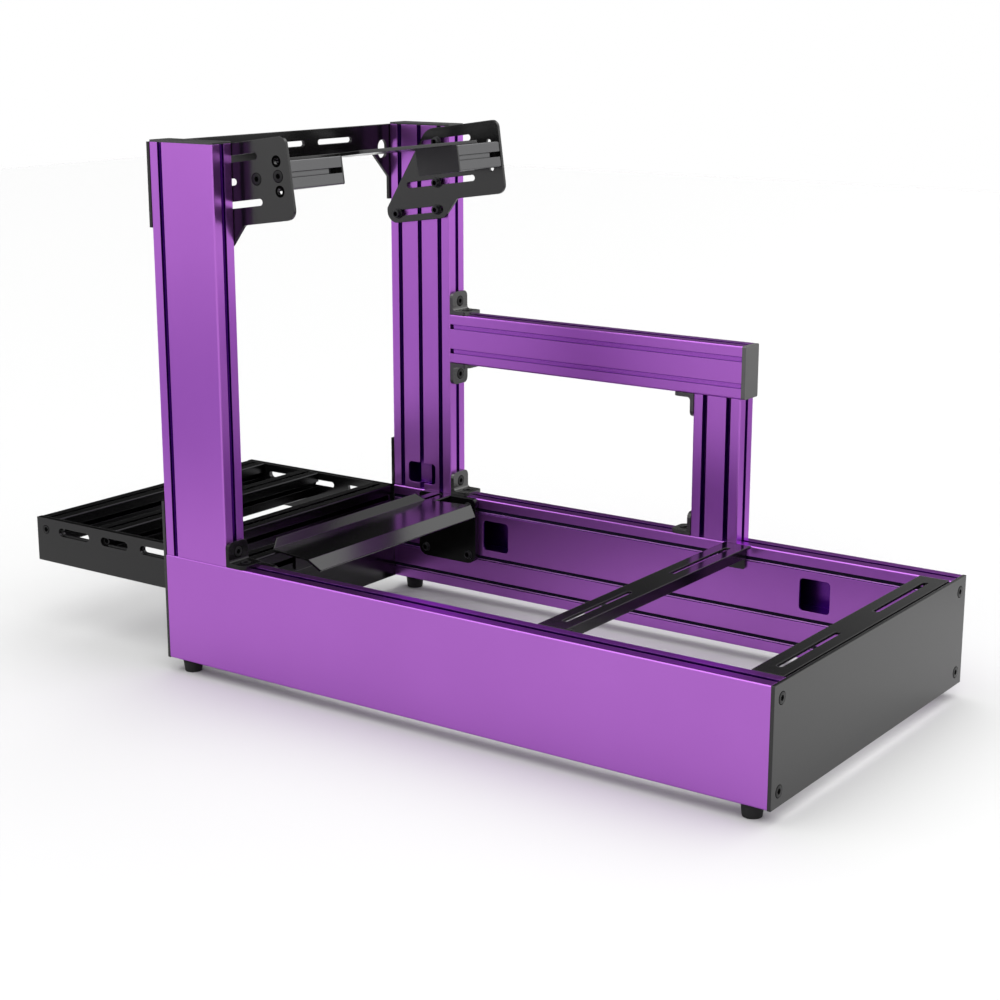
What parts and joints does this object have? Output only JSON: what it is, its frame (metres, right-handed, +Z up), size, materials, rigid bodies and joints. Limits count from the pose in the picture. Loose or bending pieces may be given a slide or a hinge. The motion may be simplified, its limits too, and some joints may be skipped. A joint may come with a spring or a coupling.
{
  "type": "sim racing cockpit",
  "caption": "Open aluminium-profile frame that carries a racing wheel, pedals, shifter and seat, with black sheet-steel plates and rubber feet",
  "frame": {"origin": "On the floor, at the middle of the frame's length and width", "axes": "+X to the driver's seat, +Y to the shifter side, +Z up"},
  "size_m": [1.33, 0.58, 0.7928],
  "materials": {
    "purple_profile": "satin purple anodised",
    "purple_cover": "purple plastic slot cover",
    "black_sheet": "fine matt black powder coat on steel sheet",
    "black_profile": "black anodised",
    "black_cap": "black moulded end cap",
    "rubber_foot": "black rubber"
  },
  "bodies": {
    "root": {"base_rail_left": "purple_profile", "base_rail_right": "purple_profile", "upright_left": "purple_profile", "upright_right": "purple_profile", "shifter_arm": "purple_profile", "shifter_post": "purple_profile", "rail_slot_covers_left": "purple_cover", "rail_slot_covers_right": "purple_cover", "shifter_arm_covers": "purple_cover", "wheel_bar_cover_left": "purple_cover", "wheel_bar_cover_right": "purple_cover", "front_end_plate": "black_sheet", "rear_end_plate": "black_sheet", "upper_cross_plate": "black_sheet", "wheel_side_plate_left": "black_sheet", "wheel_side_plate_right": "black_sheet", "wheelbase_plate": "black_sheet", "heel_plate": "black_sheet", "heel_side_plate_left": "black_sheet", "heel_side_plate_right": "black_sheet", "seat_crossmember_middle": "black_sheet", "seat_crossmember_rear": "black_sheet", "pedal_side_plate_left": "black_sheet", "pedal_side_plate_right": "black_sheet", "upright_bracket_left": "black_sheet", "upright_bracket_right": "black_sheet", "arm_bracket_upper": "black_sheet", "arm_bracket_lower": "black_sheet", "post_bracket_upper": "black_sheet", "post_bracket_lower": "black_sheet", "wheel_bar_left": "black_profile", "wheel_bar_right": "black_profile", "pedal_rail_front": "black_profile", "pedal_rail_middle": "black_profile", "pedal_rail_rear": "black_profile", "heel_rail": "black_profile", "upright_cap_left": "black_cap", "upright_cap_right": "black_cap", "wheel_bar_cap_left": "black_cap", "wheel_bar_cap_right": "black_cap", "shifter_arm_cap": "black_cap", "foot_front_left": "rubber_foot", "foot_front_right": "rubber_foot", "foot_rear_left": "rubber_foot", "foot_rear_right": "rubber_foot"}
  },
  "joints": []
}
